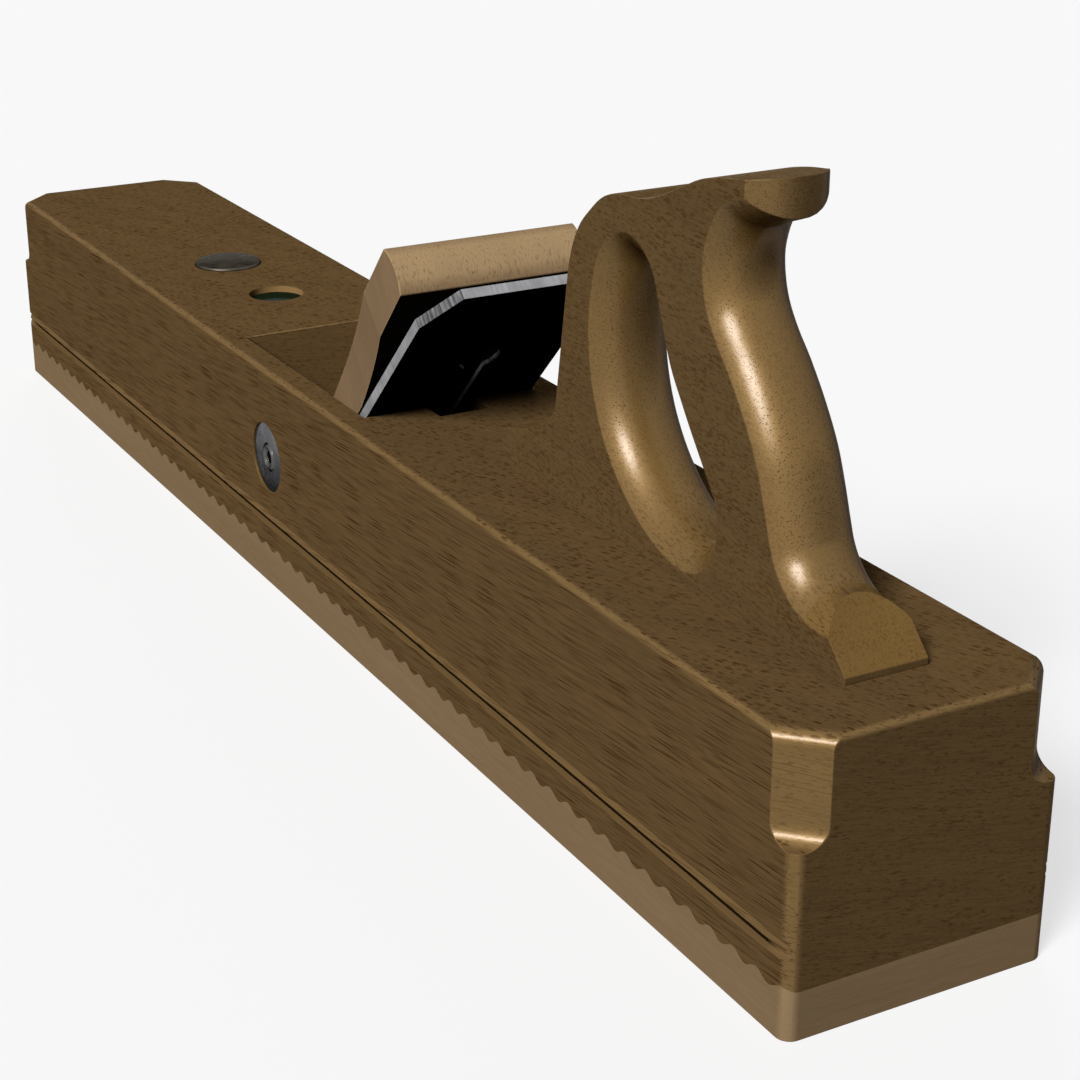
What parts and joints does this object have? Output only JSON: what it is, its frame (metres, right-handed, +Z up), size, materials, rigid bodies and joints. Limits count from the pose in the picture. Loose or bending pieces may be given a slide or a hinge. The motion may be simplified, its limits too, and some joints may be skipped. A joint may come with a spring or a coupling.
{
  "type": "jointer plane",
  "caption": "Long wooden bench plane with a closed tote, a waved hornbeam sole, a wedged double iron held by a pivoting crossbar, and a steel striking button.",
  "frame": {"origin": "middle of the sole face, halfway between heel and toe", "axes": "+X towards the toe, +Y to the user's left, +Z up out of the sole"},
  "size_m": [0.6, 0.08, 0.193],
  "materials": {
    "beech_body": "oiled beech, darkened with age",
    "hornbeam_sole": "oiled hornbeam",
    "beech_tote": "varnished beech, polished by the hand",
    "beech_wedge": "bare pale beech",
    "iron_steel": "satin",
    "button_steel": "turned, dulled by blows",
    "bush_steel": "satin",
    "screw_steel": "dark",
    "brass_inserts": "turned",
    "badge_paint": "gloss enamel"
  },
  "bodies": {
    "stock": {"body_block": "beech_body", "sole": "hornbeam_sole", "tote": "beech_tote", "strike_button": "button_steel", "badge_disc": "badge_paint", "pivot_bush_left": "bush_steel", "pivot_bush_right": "bush_steel"},
    "cutter": {"plane_iron": "iron_steel"},
    "breaker": {"cap_iron": "iron_steel", "cap_iron_nut": "brass_inserts"},
    "breaker_screw": {"cap_screw": "screw_steel"},
    "key_wedge": {"wedge": "beech_wedge"},
    "abutment": {"crossbar": "beech_wedge", "crossbar_insert_left": "brass_inserts", "crossbar_insert_right": "brass_inserts"},
    "left_screw": {"pivot_screw_left": "screw_steel"},
    "right_screw": {"pivot_screw_right": "screw_steel"}
  },
  "joints": [
    {"name": "iron_slide", "type": "slide", "parent": "stock", "child": "cutter", "axis": [-0.7071, 0, 0.7071], "range_m": [-0.0008, 0.006]},
    {"name": "cap_iron_slide", "type": "slide", "parent": "cutter", "child": "breaker", "axis": [-0.7071, 0, 0.7071], "range_m": [-0.0007, 0.0025]},
    {"name": "cap_screw_turn", "type": "hinge", "parent": "breaker", "child": "breaker_screw", "pos_m": [-0.0112, 0, 0.0498], "axis": [0.7071, 0, 0.7071], "continuous": true},
    {"name": "wedge_slide", "type": "slide", "parent": "stock", "child": "key_wedge", "axis": [-0.7071, 0, 0.7071], "range_m": [0, 0.06]},
    {"name": "crossbar_pivot", "type": "hinge", "parent": "stock", "child": "abutment", "pos_m": [0.01692, 0, 0.04779], "axis": [0, 1, 0], "range_deg": [-2.5, 2.5]},
    {"name": "left_screw_turn", "type": "hinge", "parent": "abutment", "child": "left_screw", "pos_m": [0.01692, 0.035, 0.04779], "axis": [0, 1, 0], "continuous": true},
    {"name": "right_screw_turn", "type": "hinge", "parent": "abutment", "child": "right_screw", "pos_m": [0.01692, -0.035, 0.04779], "axis": [0, 1, 0], "continuous": true}
  ]
}
